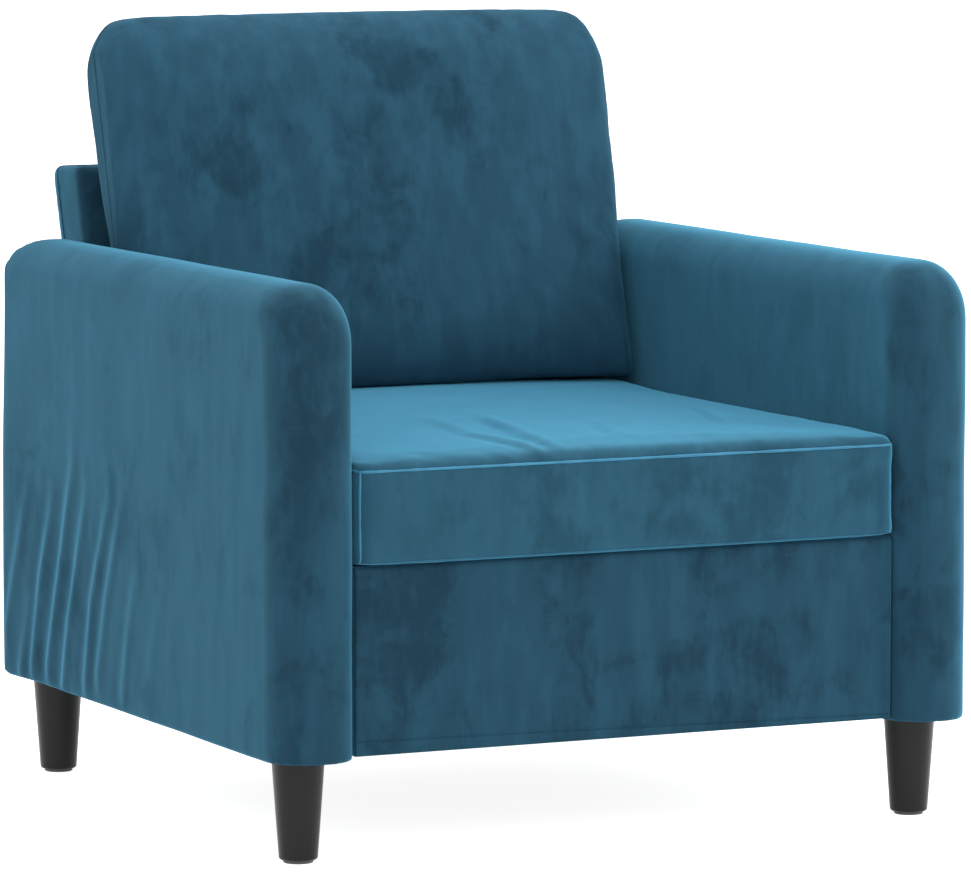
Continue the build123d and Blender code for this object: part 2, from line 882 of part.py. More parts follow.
def pillow_section(along, inset):
    """One cross-section of the back cushion, at a distance along its length."""
    from_top = pillow_length - along
    from_end = min(along, from_top)
    bulge = 1 - 2 * from_end / pillow_length
    corner = pillow_top_corner if from_top < along else pillow_foot_corner
    crown = pillow_thickness / 2 - inset
    crown -= round_loss(pillow_edge_round, from_end) + pillow_end_fall * bulge**2
    edge = crown * pillow_edge_share
    flank = min(pillow_flank, edge / 2)
    half = pillow_half - inset - flank
    half -= round_loss(corner, from_end) + pillow_side_draw * (1 - bulge)
    if from_top < along:
        half += pillow_top_spread
    height = pillow_foot - pillow_sink + along * lean_cos
    plane = Plane(
        origin=(0, back_y(pillow_middle, height), height),
        x_dir=(1, 0, 0),
        z_dir=(0, lean_sin, lean_cos),
    )
    with BuildSketch(plane) as section:
        with BuildLine():
            ThreePointArc((-half, -edge), (0, -crown), (half, -edge))
            ThreePointArc((half, -edge), (half + flank, 0), (half, edge))
            ThreePointArc((half, edge), (0, crown), (-half, edge))
            ThreePointArc((-half, edge), (-half - flank, 0), (-half, -edge))
        make_face()
    return section.sketch


def pillow_form(inset):
    """A crowned cushion that leans on the backrest and stands flat on the seat."""
    ends = [share * pillow_edge_round + inset for share in pillow_stations]
    places = ends + [pillow_length / 2] + [pillow_length - end for end in reversed(ends)]
    with BuildPart() as form:
        loft([pillow_section(along, inset) for along in places])
        split(bisect_by=Plane.XY.offset(pillow_foot + inset), keep=Keep.TOP)
    return form.part


pillow_inside = pillow_form(cushion_cover)
pillow_zip_plane = Plane(
    origin=(0, back_y(pillow_middle, pillow_foot), pillow_foot + zip_groove),
    x_dir=(1, 0, 0),
    z_dir=(0, 0, -1),
)

with BuildPart() as pillow_filling:
    add(pillow_inside)
keep(pillow_filling, "back_cushion_filling")

with BuildPart() as pillow_cover:
    add(pillow_form(0))
    add(pillow_inside, mode=Mode.SUBTRACT)
    cut_groove(pillow_zip_plane)
keep(pillow_cover, "back_cushion_cover")

with BuildPart() as pillow_zip:
    zip_shape(pillow_zip_plane)
keep(pillow_zip, "back_cushion_zip")
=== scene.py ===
import json
import math

import bmesh
import bpy
import numpy as np
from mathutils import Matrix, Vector, noise
from mathutils.bvhtree import BVHTree

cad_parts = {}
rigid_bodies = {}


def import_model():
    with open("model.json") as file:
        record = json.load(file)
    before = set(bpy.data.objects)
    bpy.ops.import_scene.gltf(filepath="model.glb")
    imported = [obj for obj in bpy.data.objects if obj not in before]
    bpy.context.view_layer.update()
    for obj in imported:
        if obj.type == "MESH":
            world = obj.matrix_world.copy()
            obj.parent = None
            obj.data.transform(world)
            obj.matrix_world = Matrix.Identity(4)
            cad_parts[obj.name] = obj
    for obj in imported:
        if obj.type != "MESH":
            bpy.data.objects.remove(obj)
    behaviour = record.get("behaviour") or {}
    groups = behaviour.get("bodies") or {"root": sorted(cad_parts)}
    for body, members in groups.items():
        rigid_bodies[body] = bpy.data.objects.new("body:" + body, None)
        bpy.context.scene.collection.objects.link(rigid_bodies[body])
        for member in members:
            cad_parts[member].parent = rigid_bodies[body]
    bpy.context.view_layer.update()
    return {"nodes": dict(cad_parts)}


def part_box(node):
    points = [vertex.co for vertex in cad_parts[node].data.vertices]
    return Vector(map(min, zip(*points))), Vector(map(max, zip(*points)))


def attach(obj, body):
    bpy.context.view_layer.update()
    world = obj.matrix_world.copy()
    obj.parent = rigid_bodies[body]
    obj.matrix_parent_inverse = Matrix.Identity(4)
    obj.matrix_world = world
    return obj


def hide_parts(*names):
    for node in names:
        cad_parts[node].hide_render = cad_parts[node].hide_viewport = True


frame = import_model()

# The look of a velvet armchair: its padded covers, seams, loose cushions and feet, in metres.

# Places that the covers are built on, read from the frame
ARM_LOW, ARM_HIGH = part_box("left_arm_cover")
_, SEAT_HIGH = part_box("seat_cushion_cover")
PILLOW_LOW, PILLOW_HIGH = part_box("back_cushion_cover")
_, BACK_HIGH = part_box("backrest_cover")
RAIL_LOW, RAIL_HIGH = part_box("front_rail_cover")
_, RAIL_FOAM_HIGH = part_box("front_rail_foam")
DECK_LOW, DECK_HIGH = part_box("deck_cloth")
PAD_LOW, PAD_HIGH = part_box("deck_pad")
DUST_LOW, DUST_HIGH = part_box("dust_cloth")

# Mesh fineness of the soft pieces, and how their skins are relaxed
ARM_VOXEL = 0.0045
BACK_VOXEL = 0.0055
RAIL_VOXEL = 0.0035
CUSHION_VOXEL = 0.0070
PAD_VOXEL = 0.0080
RELAX_FACTOR = 0.5
RELAX_STEPS = 2

# Lengths that count as none
MERGE_DISTANCE = 1e-5
EDGE_NEAR = 1e-4
LEAST_LENGTH = 1e-9

# Unevenness of each kind: height (for pad, cloths and seams a share), size of its lumps and seed
UNEVEN = {
    "left_arm": (0.0007, 0.110, 1),
    "right_arm": (0.0007, 0.110, 2),
    "rail": (0.0006, 0.090, 11),
    "back": (0.0009, 0.120, 21),
    "seat": (0.0010, 0.100, 5),
    "seat_edge": (0.0009, 0.020, 6),
    "pillow": (0.0012, 0.130, 7),
    "pillow_edge": (0.0010, 0.022, 8),
    "pad": (1.0, 0.060, 31),
    "deck_cloth": (0.8, 0.070, 41),
    "dust_cloth": (0.8, 0.070, 42),
    "seam": (0.35, 0.012, 3),
}
LUMP_SHIFT = (7.31, 3.17, 5.73)

# How squarely a surface faces a direction: where it starts to count, and where it counts in full
FACING = (0.5, 0.9)
FACING_FOLDS = (0.70, 0.97)
FACING_FLARE = (0.2, 0.8)
FACING_CREASES = (0.45, 0.90)
FACING_FILL = (0.3, 0.8)

# Arms: seam near the rear end, hem, and the loose cloth low on the outside
ARM_SEAM_INSET = 0.006
ARM_SEAM_DEPTH = 0.0018
ARM_SEAM_WIDTH = 0.0018
ARM_SEAM_CLEAR = 0.006
ARM_SEAM_RINGS = (-0.004, -0.002, 0.0, 0.002)
LEFT_HEM_DROP = 0.0020
RIGHT_HEM_DROP = 0.0034
ARM_HEM_REACH = 0.014
ARM_REAR_FLARE = 0.0038
FLARE_START = 0.11
FLARE_END = 0.004
FLARE_LEVELS = (0.33, 0.52)
FOLD_HALF_WIDTH = 0.010
FOLD_VALLEY_SHIFT = 0.020
FOLD_VALLEY_WIDTH = 0.012
FOLD_VALLEY_SHARE = 0.55
FOLD_FOOT_FADE = 0.035
FOLD_TOP_FADE_START = 0.10
FOLD_TOP_FADE_END = 0.06

# Each fold as (y, z) along its ridge from the hem upwards, and its height
ARM_FOLDS = (
    (((0.318, 0.150), (0.255, 0.322)), 0.0016),
    (((0.277, 0.116), (0.253, 0.197)), 0.0022),
    (((0.246, 0.127), (0.222, 0.223), (0.190, 0.307)), 0.0025),
    (((0.202, 0.129), (0.179, 0.203), (0.130, 0.351)), 0.0025),
    (((0.160, 0.109), (0.141, 0.185), (0.093, 0.323)), 0.0024),
    (((0.096, 0.127), (0.078, 0.215), (0.030, 0.323)), 0.0022),
    (((0.062, 0.138), (0.040, 0.213), (-0.006, 0.327)), 0.0017),
    (((-0.007, 0.131), (-0.021, 0.195), (-0.042, 0.254)), 0.0014),
    (((-0.081, 0.172), (-0.093, 0.210)), 0.0009),
)
LEFT_FOLD_SHARE = 1.0
RIGHT_FOLD_SHARE = 0.65

# Front of the seat box: its hem seam rises from right to left
HEM_LEFT = 0.0150
HEM_RIGHT = 0.0050
HEM_DEPTH = 0.0019
HEM_WIDTH = 0.0012
HEM_RINGS = (-0.0024, -0.0012, 0.0, 0.0012, 0.0024)
RAIL_END_SPARE = 0.0040
RAIL_END_TUCK = 0.0004
RAIL_ROUND = 0.006
RAIL_ROUND_STEPS = 5
RAIL_FLAP_LAP = 0.002

# Backrest: its lean, and the seam round its rear panel
BACK_LEAN = math.radians(15.5)
LEAN_NORMAL = Vector((0, -math.cos(BACK_LEAN), math.sin(BACK_LEAN)))
BACK_SEAM_INSET = 0.012
BACK_SEAM_RADIUS = 0.0011

# Seat cushion: sewn lines and creases, as (x, y) along each crease, its depth and its half width
SEAT_TOP_SEAM = 0.390
SEAT_FOOT_SEAM = 0.300
SEAT_CREASES = (
    (((-0.125, -0.163), (-0.138, -0.287), (-0.116, -0.381)), 0.0020, 0.0085),
    (((-0.068, -0.168), (-0.090, -0.309), (-0.090, -0.372)), 0.0023, 0.0075),
    (((-0.073, -0.188), (-0.077, -0.273), (-0.084, -0.333)), 0.0012, 0.0075),
    (((0.020, -0.250), (0.000, -0.330)), 0.0012, 0.0085),
    (((0.192, -0.158), (0.152, -0.273)), 0.0016, 0.0075),
)
CREASE_FRONT_FADE = 0.03
CREASE_REAR_FADE_START = 0.06
CREASE_REAR_FADE_END = 0.05
CREASE_RIDGE_SHIFT = 1.7
CREASE_RIDGE_WIDTH = 1.2
CREASE_RIDGE_SHARE = 0.9
SEAT_FILL_OUT = 1.012
SEAT_ARM_GAP = 0.0018
SEAT_HALF = SEAT_HIGH.x - SEAT_ARM_GAP
SEAT_PANEL_HALF = 0.2968
SEAT_PANEL_STEPS = 24
SEAT_UPRIGHT = 0.85
SEAT_SEAM_REACH = 0.012
SEAT_TOP_ROOM = 0.0012
SEAT_FRONT_ROOM = 0.0010
SEAT_PUCKER_REACH = 0.010
SEAT_PUCKER_FACING = -0.3
SEAM_RADIUS = 0.0013
FOOT_SEAM_RADIUS = 0.0009

# Back cushion: fuller sides, dropped lower corners and rounder upper corners
PILLOW_MIDDLE = (PILLOW_LOW + PILLOW_HIGH) / 2
PILLOW_SIDE_FILL = 0.0050
PILLOW_WAIST = 0.62
PILLOW_WAIST_REACH = 0.06
PILLOW_CORNER_DROP = 0.0030
PILLOW_FOOT_REACH = 0.06
PILLOW_CORNER_ROUND = 0.0055
PILLOW_TOP_REACH = 0.07
PILLOW_SIDEWAYS = 0.7
PILLOW_SEAM_REACH = 0.014
PILLOW_ROOM = 0.0020
PILLOW_PUCKER_REACH = 0.018
PILLOW_SEAM_RADIUS = 0.0010

# Loose cushions: swelling by cloth simulation, and room for their zips
SIM_FRAMES = 20
SIM_QUALITY = 5
SIM_MASS = 0.3
SIM_PRESSURE = 4.0
SIM_SHRINK = -0.012
SEAM_HOLD = 0.0045
START_INSET = 0.0040
SEAM_INSET = 0.0
SEAT_CAP = 0.022
PILLOW_CAP = 0.026
SEAT_SIM_SHARE = 0.28
PILLOW_SIM_SHARE = 0.14
ZIP_ROOM = 0.0022
ZIP_MARGIN = 0.003

# Raised seams: length of their steps and fineness of their round
SEAM_STEP = 0.004
SEAM_FINENESS = 2

# Deck pad and the two stretched cloths
PAD_ROUND = 0.004
PAD_ROUND_STEPS = 2
PAD_DIP = 0.0008
CLOTH_CELLS_X = 60
CLOTH_CELLS_Y = 52
CLOTH_LOOSE_FROM_EDGE = 0.2
DECK_TUCK = 0.0002
DECK_SAG = 0.0004
DUST_LIFT = 0.0004
DUST_SAG = 0.0015

# Camera that sees the chair as the photograph does
CAMERA_AZIMUTH = math.radians(-25.45)
CAMERA_ELEVATION = math.radians(6.06)
CAMERA_DISTANCE = 6.716
CAMERA_TARGET = Vector((-0.0005, -0.056, 0.378))
CAMERA_LENS = 237.8
CAMERA_SENSOR = 36
CAMERA_FAR = 80


# Selecting and modelling helpers


def take(piece):
    """Make one object the only selected and active one."""
    if bpy.context.object and bpy.context.object.mode != "OBJECT":
        bpy.ops.object.mode_set(mode="OBJECT")
    bpy.ops.object.select_all(action="DESELECT")
    piece.select_set(True)
    bpy.context.view_layer.objects.active = piece


def block(name, low, high):
    """A cube that fills the space between two corners, with its place in its mesh."""
    bpy.ops.object.select_all(action="DESELECT")
    middle = (Vector(low) + Vector(high)) / 2
    bpy.ops.mesh.primitive_cube_add(size=1, location=middle)
    piece = bpy.context.object
    piece.name = name
    piece.data.name = name
    piece.scale = Vector(high) - Vector(low)
    bpy.ops.object.transform_apply(location=True, rotation=True, scale=True)
    return piece


def bevel_where(piece, wanted, offset, segments):
    """Round off the edges whose two ends pass a test."""
    take(piece)
    bpy.ops.object.mode_set(mode="EDIT")
    bpy.ops.mesh.select_mode(type="EDGE")
    bpy.ops.mesh.select_all(action="DESELECT")
    form = bmesh.from_edit_mesh(piece.data)
    for edge in form.edges:
        edge.select_set(wanted(edge.verts[0].co, edge.verts[1].co))
    form.select_flush_mode()
    bmesh.update_edit_mesh(piece.data)
    bpy.ops.mesh.bevel(
        offset=offset, offset_type="OFFSET", segments=segments, profile=0.5, clamp_overlap=False
    )
    bpy.ops.object.mode_set(mode="OBJECT")


def apply_all(piece):
    """Apply every modifier of a piece, in order."""
    take(piece)
    for modifier in list(piece.modifiers):
        bpy.ops.object.modifier_apply(modifier=modifier.name)


def subdivide(piece):
    """One smooth subdivision of a skin, applied."""
    finer = piece.modifiers.new("finer", "SUBSURF")
    finer.levels = 1
    finer.render_levels = 1
    apply_all(piece)


def even_skin(piece, voxel):
    """Turn a form into an even skin of small quads that still follows the form."""
    form = piece.copy()
    form.data = piece.data.copy()
    bpy.context.collection.objects.link(form)
    remesh = piece.modifiers.new("even", "REMESH")
    remesh.mode = "VOXEL"
    remesh.voxel_size = voxel
    hug = piece.modifiers.new("hug", "SHRINKWRAP")
    hug.target = form
    relax = piece.modifiers.new("relax", "SMOOTH")
    relax.factor = RELAX_FACTOR
    relax.iterations = RELAX_STEPS
    apply_all(piece)
    bpy.data.objects.remove(form)


def cut_rings(piece, point, normal, offsets):
    """Cut extra edge rings into a skin, at distances from a point along a normal."""
    take(piece)
    bpy.ops.object.mode_set(mode="EDIT")
    for offset in offsets:
        bpy.ops.mesh.select_all(action="SELECT")
        bpy.ops.mesh.bisect(plane_co=Vector(point) + Vector(normal) * offset, plane_no=normal)
    bpy.ops.object.mode_set(mode="OBJECT")


def copy_of_node(name, node):
    """A merged copy of a node's mesh, to shape a soft piece from."""
    piece = bpy.data.objects.new(name, frame["nodes"][node].data.copy())
    piece.data.name = name
    bpy.context.collection.objects.link(piece)
    take(piece)
    bpy.ops.object.mode_set(mode="EDIT")
    bpy.ops.mesh.select_mode(type="VERT")
    bpy.ops.mesh.select_all(action="SELECT")
    bpy.ops.mesh.remove_doubles(threshold=MERGE_DISTANCE)
    bpy.ops.object.mode_set(mode="OBJECT")
    return piece


def outer_hull(piece):
    """Close a bulging cover over its holes."""
    take(piece)
    bpy.ops.object.mode_set(mode="EDIT")
    bpy.ops.mesh.select_all(action="SELECT")
    bpy.ops.mesh.convex_hull()
    bpy.ops.object.mode_set(mode="OBJECT")
    return piece


def outer_skin(piece):
    """Keep the outermost of a hollow cover's two skins."""
    take(piece)
    bpy.ops.object.mode_set(mode="EDIT")
    bpy.ops.mesh.select_all(action="DESELECT")
    form = bmesh.from_edit_mesh(piece.data)
    top = max(form.verts, key=lambda vert: vert.co.z)
    top.select_set(True)
    bmesh.update_edit_mesh(piece.data)
    bpy.ops.mesh.select_linked()
    bpy.ops.mesh.select_all(action="INVERT")
    bpy.ops.mesh.delete(type="VERT")
    bpy.ops.object.mode_set(mode="OBJECT")
    return piece


def tree_of(piece):
    """A search tree of a piece's surface."""
    form = bmesh.new()
    form.from_mesh(piece.data)
    tree = BVHTree.FromBMesh(form)
    form.free()
    return tree


def points_of(piece):
    """All vertices of a piece as an array, and all vertex normals."""
    mesh = piece.data
    count = len(mesh.vertices)
    points = np.empty(count * 3)
    mesh.vertices.foreach_get("co", points)
    normals = np.empty(count * 3)
    mesh.vertex_normals.foreach_get("vector", normals)
    return points.reshape(-1, 3), normals.reshape(-1, 3)


def set_points(piece, points):
    """Write an array of vertices back into a piece."""
    piece.data.vertices.foreach_set("co", points.ravel())
    piece.data.update()


def uneven(points, kind):
    """Smooth lumps at each point, by the height, size and seed of their kind."""
    height, size, seed = UNEVEN[kind]
    shift = Vector([seed * part for part in LUMP_SHIFT])
    return height * np.array([noise.noise(Vector(point) / size + shift) for point in points])


def ease(value, start, end):
    """0 before start, 1 after end, and a smooth rise between them."""
    t = np.clip((value - start) / (end - start), 0, 1)
    return t * t * (3 - 2 * t)


def hump(distance, width):
    """A smooth bump, 1 at no distance and nearly 0 past two widths."""
    return np.exp(-((distance / width) ** 2))


def dress(piece, body, material, slot, *nodes):
    """Give a finished piece its material, its body and the nodes that it stands for."""
    take(piece)
    bpy.ops.object.shade_smooth()
    piece.data.materials.clear()
    piece.data.materials.append(material)
    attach(piece, body)
    if nodes:
        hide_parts(*nodes)


# Sewn lines on the surface of a soft piece


def evened(points, closed):
    """A line resampled at even steps."""
    if closed:
        points = np.vstack((points, points[:1]))
    steps = np.linalg.norm(np.diff(points, axis=0), axis=1)
    along = np.concatenate(([0.0], np.cumsum(steps)))
    count = max(int(along[-1] / SEAM_STEP), 3)
    places = np.linspace(0, along[-1], count, endpoint=not closed)
    return np.stack([np.interp(places, along, points[:, axis]) for axis in range(3)], axis=1)


def ring_around(piece, point, normal):
    """The closed line where a plane cuts the surface of a piece."""
    form = bmesh.new()
    form.from_mesh(piece.data)
    everything = form.verts[:] + form.edges[:] + form.faces[:]
    cut = bmesh.ops.bisect_plane(form, geom=everything, plane_co=point, plane_no=normal)
    beside = {}
    for edge in cut["geom_cut"]:
        if isinstance(edge, bmesh.types.BMEdge):
            first, second = edge.verts
            beside.setdefault(first, []).append(second)
            beside.setdefault(second, []).append(first)
    here = max(beside, key=lambda vert: (vert.co.z, vert.co.x))
    line = [here]
    walked = {here}
    while True:
        onward = [vert for vert in beside[here] if vert not in walked]
        if not onward:
            break
        here = onward[0]
        walked.add(here)
        line.append(here)
    points = np.array([tuple(vert.co) for vert in line])
    form.free()
    return evened(points, True)


def seam_piece(name, body, material, radius, lines):
    """Raised sewn seams along lines, each a pair of its points and whether it is closed."""
    curve = bpy.data.curves.new(name, "CURVE")
    curve.dimensions = "3D"
    curve.bevel_depth = radius
    curve.bevel_resolution = SEAM_FINENESS
    curve.use_fill_caps = True
    for points, closed in lines:
        spline = curve.splines.new("POLY")
        spline.points.add(len(points) - 1)
        spline.points.foreach_set("co", np.column_stack((points, np.ones(len(points)))).ravel())
        spline.points.foreach_set("radius", 1 + uneven(points, "seam"))
        spline.use_cyclic_u = closed
    piece = bpy.data.objects.new(name, curve)
    bpy.context.collection.objects.link(piece)
    take(piece)
    bpy.ops.object.convert(target="MESH")
    dress(piece, body, material, "velvet")


# Node helpers for materials

# Places of the colour mix node's sockets
MIX_FACTOR = 0
MIX_FIRST = 6
MIX_SECOND = 7
MIX_RESULT = 2


def new_material(name):
    """An empty node material with a Principled shader and its output."""
    material = bpy.data.materials.new(name)
    material.use_nodes = True
    return material, material.node_tree.nodes["Principled BSDF"]


def new_group(name, outputs):
    """A node group that turns a vector into some values, with its vector and its end."""
    group = bpy.data.node_groups.new(name, "ShaderNodeTree")
    group.interface.new_socket("Vector", in_out="INPUT", socket_type="NodeSocketVector")
    for output in outputs:
        group.interface.new_socket(output, in_out="OUTPUT", socket_type="NodeSocketFloat")
    start = group.nodes.new("NodeGroupInput")
    end = group.nodes.new("NodeGroupOutput")
    return group, start.outputs["Vector"], end


def add_node(tree, kind, **values):
    """One node with its properties and unlinked inputs set."""
    node = tree.nodes.new(kind)
    for key, value in values.items():
        if hasattr(node, key):
            setattr(node, key, value)
        else:
            node.inputs[key.replace("_", " ")].default_value = value
    return node


def ramp(tree, low, high, source):
    """A soft step from 0 at low to 1 at high."""
    node = add_node(tree, "ShaderNodeMapRange", interpolation_type="SMOOTHSTEP", clamp=True)
    node.inputs["From Min"].default_value = low
    node.inputs["From Max"].default_value = high
    tree.links.new(source, node.inputs["Value"])
    return node.outputs["Result"]


def math_node(tree, operation, first, second):
    """A Math node between sockets or numbers."""
    node = tree.nodes.new("ShaderNodeMath")
    node.operation = operation
    for place, value in enumerate((first, second)):
        if isinstance(value, (int, float)):
            node.inputs[place].default_value = value
        else:
            tree.links.new(value, node.inputs[place])
    return node.outputs["Value"]


def mix_colour(tree, factor, first, second):
    """A colour mix between sockets or colours."""
    node = tree.nodes.new("ShaderNodeMix")
    node.data_type = "RGBA"
    for place, value in ((MIX_FACTOR, factor), (MIX_FIRST, first), (MIX_SECOND, second)):
        if isinstance(value, (int, float, tuple)):
            node.inputs[place].default_value = value
        else:
            tree.links.new(value, node.inputs[place])
    return node.outputs[MIX_RESULT]


def noise_of(tree, vector, scale, detail=4.0, roughness=0.55, distortion=0.0):
    """The value of a noise texture on a vector."""
    node = add_node(
        tree, "ShaderNodeTexNoise", Scale=scale, Detail=detail, Roughness=roughness, Distortion=distortion
    )
    tree.links.new(vector, node.inputs["Vector"])
    return node.outputs["Fac"]


def bands_of(tree, vector, direction):
    """The value of even bands across one direction of a vector."""
    node = add_node(tree, "ShaderNodeTexWave", bands_direction=direction, Scale=1.0)
    tree.links.new(vector, node.inputs["Vector"])
    return node.outputs["Fac"]


def stretched(tree, scale, place=(0, 0, 0)):
    """Object coordinates through a Mapping node."""
    coordinates = tree.nodes.new("ShaderNodeTexCoord")
    mapping = add_node(tree, "ShaderNodeMapping")
    mapping.inputs["Scale"].default_value = scale
    mapping.inputs["Location"].default_value = place
    tree.links.new(coordinates.outputs["Object"], mapping.inputs["Vector"])
    return mapping.outputs["Vector"]


def combed(tree, vector, scale):
    """A vector stretched by a scale of its own."""
    comb = tree.nodes.new("ShaderNodeVectorMath")
    comb.operation = "MULTIPLY"
    comb.inputs[1].default_value = scale
    tree.links.new(vector, comb.inputs[0])
    return comb.outputs["Vector"]


def bump_into(tree, shader, height, strength, distance):
    """Bump the surface by a height."""
    bump = add_node(tree, "ShaderNodeBump", Strength=strength, Distance=distance)
    tree.links.new(height, bump.inputs["Height"])
    tree.links.new(bump.outputs["Normal"], shader.inputs["Normal"])


def spread(tree, source, low, high):
    """A value from 0 to 1 spread between two numbers."""
    node = add_node(tree, "ShaderNodeMapRange")
    node.inputs["To Min"].default_value = low
    node.inputs["To Max"].default_value = high
    tree.links.new(source, node.inputs["Value"])
    return node.outputs["Result"]


# Shared effects

# Stretch of the patterns in the velvet's nap
BRUSHED_STRETCH = (1.0, 1.0, 0.22)
BROAD_STRETCH = (1.0, 1.0, 0.75)
SMALL_STRETCH = (1.0, 1.0, 0.80)

# Noise of each pattern: scale, detail, roughness and distortion
BROAD_NOISE = (6.5, 4.0, 0.55, 0.7)
SMALL_NOISE = (24.0, 5.0, 0.60, 0.6)
HAIR_NOISE = (130.0, 3.0, 0.6)
STREAK_NOISE = (38.0, 4.0, 0.6)
FUZZ_NOISE = (900.0, 2.0)
YARN_NOISE = (0.6, 5.0, 0.7)

# What each pattern adds to the clouds, and where clouds and streaks begin and are full
BROAD_SHARE = 0.50
SMALL_SHARE = 0.38
HAIR_SHARE = 0.12
CLOUD_EDGE = (0.475, 0.620)
STREAK_EDGE = (0.35, 0.70)


def nap_group():
    """Velvet pile: brushed clouds, upright streaks and fuzz, from a piece's own coordinates."""
    group, vector, end = new_group("velvet_nap", ("Clouds", "Streaks", "Fuzz"))

    brushed = combed(group, vector, BRUSHED_STRETCH)
    broad = noise_of(group, combed(group, vector, BROAD_STRETCH), *BROAD_NOISE)
    small = noise_of(group, combed(group, vector, SMALL_STRETCH), *SMALL_NOISE)
    hairs = noise_of(group, brushed, *HAIR_NOISE)
    broad_part = math_node(group, "MULTIPLY", broad, BROAD_SHARE)
    small_part = math_node(group, "MULTIPLY", small, SMALL_SHARE)
    hair_part = math_node(group, "MULTIPLY", hairs, HAIR_SHARE)
    blotch = math_node(group, "ADD", math_node(group, "ADD", broad_part, small_part), hair_part)
    group.links.new(ramp(group, *CLOUD_EDGE, blotch), end.inputs["Clouds"])

    streaks = noise_of(group, brushed, *STREAK_NOISE)
    group.links.new(ramp(group, *STREAK_EDGE, streaks), end.inputs["Streaks"])

    fuzz = noise_of(group, vector, *FUZZ_NOISE)
    group.links.new(fuzz, end.inputs["Fuzz"])
    return group


def weave_group():
    """Plain weave: threads that cross along every axis, and uneven yarn."""
    group, vector, end = new_group("plain_weave", ("Threads", "Uneven"))
    warp = bands_of(group, vector, "X")
    weft = bands_of(group, vector, "Y")
    rise = bands_of(group, vector, "Z")
    threads = math_node(group, "MAXIMUM", math_node(group, "MAXIMUM", warp, weft), rise)
    group.links.new(threads, end.inputs["Threads"])
    group.links.new(noise_of(group, vector, *YARN_NOISE), end.inputs["Uneven"])
    return group


# Materials

# Velvet: colours, bump strength and depth of its fuzz, roughness and shine
VELVET_BASE = (0.0158, 0.0620, 0.1010)
VELVET_LIGHT = (0.0208, 0.0810, 0.1300)
VELVET_DARK = (0.0086, 0.0350, 0.0590)
VELVET_BUMP = (0.10, 0.0006)
VELVET_ROUGHNESS = (0.82, 0.92)
VELVET_SPECULAR = 0.12
SHEEN_TINT = (0.18, 0.67, 1.0, 1)

# Each panel's velvet: place of its pattern, tone, clouds, sheen and sheen roughness. The nap lies
# differently on each panel, which changes its sheen; the tone makes whole panels lighter or darker to
# match how light falls on them, which is painted light and shade
VELVETS = {
    "left_velvet": ((0.13, 0.40, 0.20), 0.94, 0.65, 0.72, 0.38),
    "right_velvet": ((0.13, 0.40, 0.20), 0.94, 0.80, 1.0, 0.43),
    "rail_velvet": ((0.31, 0.10, 0.05), 1.00, 0.85, 0.9, 0.40),
    "back_velvet": ((0.22, 0.31, 0.17), 1.00, 0.70, 0.7, 0.40),
    "seat_velvet": ((0.52, 0.27, 0.36), 0.98, 0.90, 1.0, 0.55),
    "pillow_velvet": ((0.05, 0.05, 0.05), 1.17, 0.72, 0.22, 0.40),
    # The seam velvet's tone of 3.20 is a painted highlight along the seat cushion's sewn seams
    "seam_highlight_velvet": ((0.40, 0.12, 0.23), 3.20, 0.30, 1.0, 0.60),
}

# Grained materials: dark and light colour, grain scale, roughness, bump, metallic share and shine
GRAINED = {
    "leg_plastic": (
        (0.0085, 0.0085, 0.0086), (0.0125, 0.0125, 0.0127), 420.0, (0.28, 0.36), 0.02, 0.0, 0.20,
    ),
    "glide_plastic": ((0.10, 0.10, 0.10), (0.14, 0.14, 0.14), 300.0, (0.5, 0.7), 0.05, 0.0, 0.5),
    "fibreboard": ((0.20, 0.11, 0.055), (0.31, 0.19, 0.10), 260.0, (0.7, 0.9), 0.12, 0.0, 0.5),
    "spring_steel": ((0.16, 0.16, 0.17), (0.24, 0.24, 0.25), 140.0, (0.30, 0.45), 0.04, 1.0, 0.5),
    "zinc_steel": ((0.55, 0.56, 0.58), (0.68, 0.69, 0.70), 180.0, (0.25, 0.42), 0.04, 1.0, 0.5),
    "foam": ((0.62, 0.55, 0.36), (0.74, 0.68, 0.50), 500.0, (0.85, 1.0), 0.4, 0.0, 0.5),
}
TIMBER = ((0.42, 0.25, 0.12), (0.58, 0.39, 0.21), 90.0, (0.55, 0.75), 0.15, 0.0, 0.5)
TIMBER_STRETCH = {"x": (0.06, 1, 1), "y": (1, 0.06, 1), "z": (1, 1, 0.06)}
GRAIN_NOISE = (6.0, 0.6)
GRAIN_EDGE = (0.3, 0.7)
GRAIN_DEPTH = 0.0005

# Woven materials: dark and light colour, threads to the metre and roughness
WOVEN = {
    "webbing": ((0.012, 0.012, 0.013), (0.060, 0.060, 0.062), 500, (0.7, 0.9)),
    "zip_tape": ((0.010, 0.030, 0.045), (0.030, 0.085, 0.125), 450, (0.5, 0.8)),
    "deck_cloth": ((0.030, 0.030, 0.032), (0.11, 0.11, 0.115), 700, (0.8, 0.95)),
    "dust_cloth": ((0.008, 0.008, 0.008), (0.035, 0.035, 0.036), 550, (0.75, 0.9)),
}
WAVE_RATE = 20
WEAVE_BUMP = (0.35, 0.0006)
WEAVE_SPECULAR = 0.2


def toned(colour, tone=1):
    """A colour made lighter or darker as a whole."""
    return (colour[0] * tone, colour[1] * tone, colour[2] * tone, 1)


